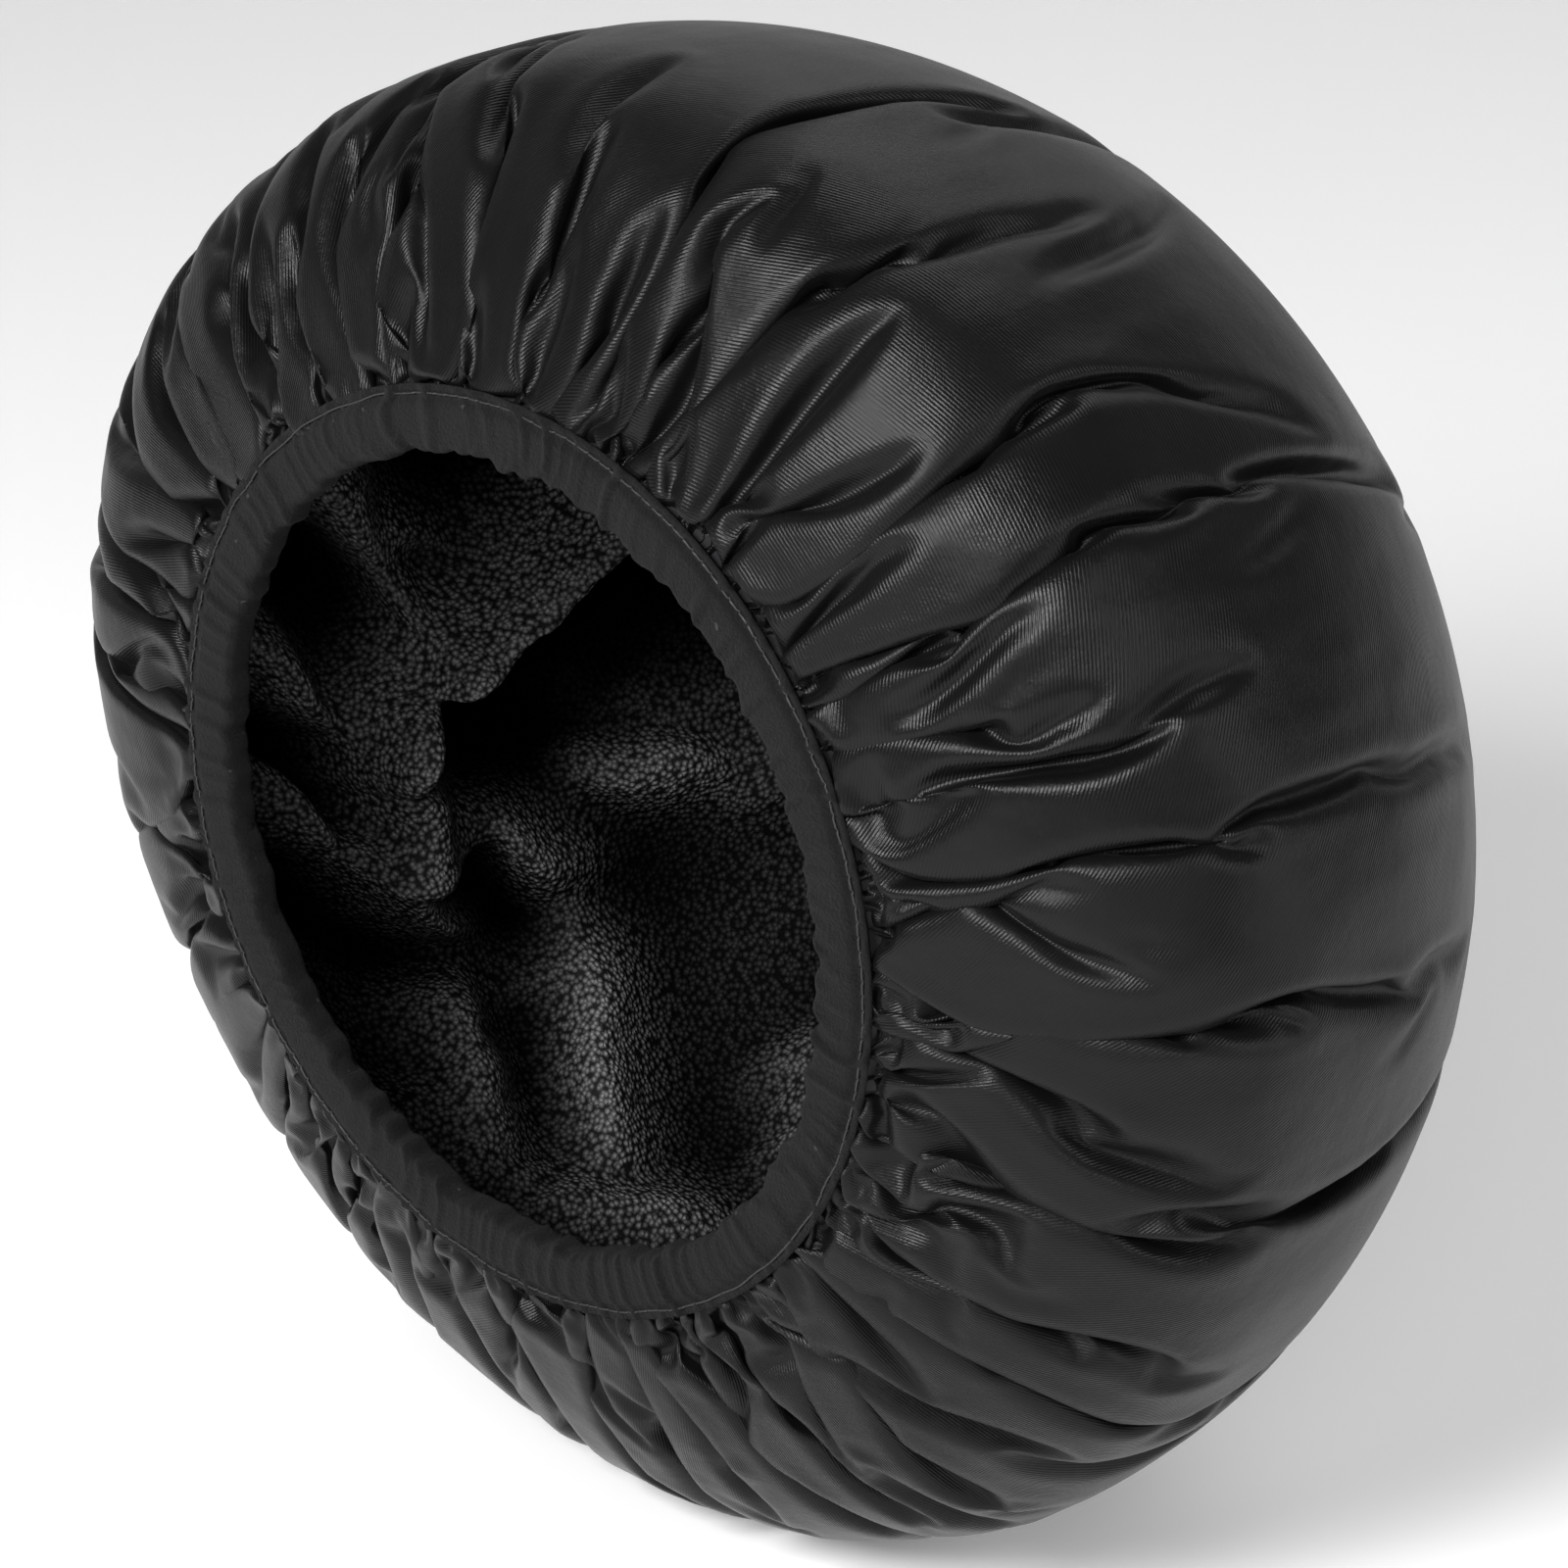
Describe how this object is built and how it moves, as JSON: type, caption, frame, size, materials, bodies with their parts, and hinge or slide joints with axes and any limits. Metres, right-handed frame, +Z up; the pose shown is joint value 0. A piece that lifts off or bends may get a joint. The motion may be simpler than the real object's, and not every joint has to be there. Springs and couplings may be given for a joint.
{
  "type": "lined shower cap",
  "caption": "Round puffed fabric cap with a gathered elastic hem, satin outside and looped terry lining inside, standing on its edge.",
  "frame": {"origin": "on the floor, under the middle of the cap's bounding box, with the cap standing on its edge", "axes": "+Y from the opening to the crown, +Z up, +X to the right seen from the crown side"},
  "size_m": [0.28, 0.176, 0.2808],
  "materials": {
    "satin": "black satin weave with a soft sheen",
    "film": "thin flexible film",
    "terry": "black looped terry",
    "velour": "charcoal brushed velour",
    "elastic": "braided elastic",
    "thread": "polyester thread"
  },
  "bodies": {
    "hem": {"hem_casing": "velour", "elastic_band": "elastic", "elastic_join_stitches": "thread", "casing_join_stitches": "thread", "hem_needle_thread": "thread", "hem_bobbin_thread": "thread", "gathering_thread": "thread"},
    "crown": {"outer_shell": "satin", "waterproof_film": "film", "terry_lining": "terry"}
  },
  "joints": [
    {"name": "crown_collapse", "type": "slide", "parent": "hem", "child": "crown", "axis": [0, -1, 0], "range_m": [0, 0.1], "deforming": ["outer_shell", "waterproof_film", "terry_lining"]}
  ]
}
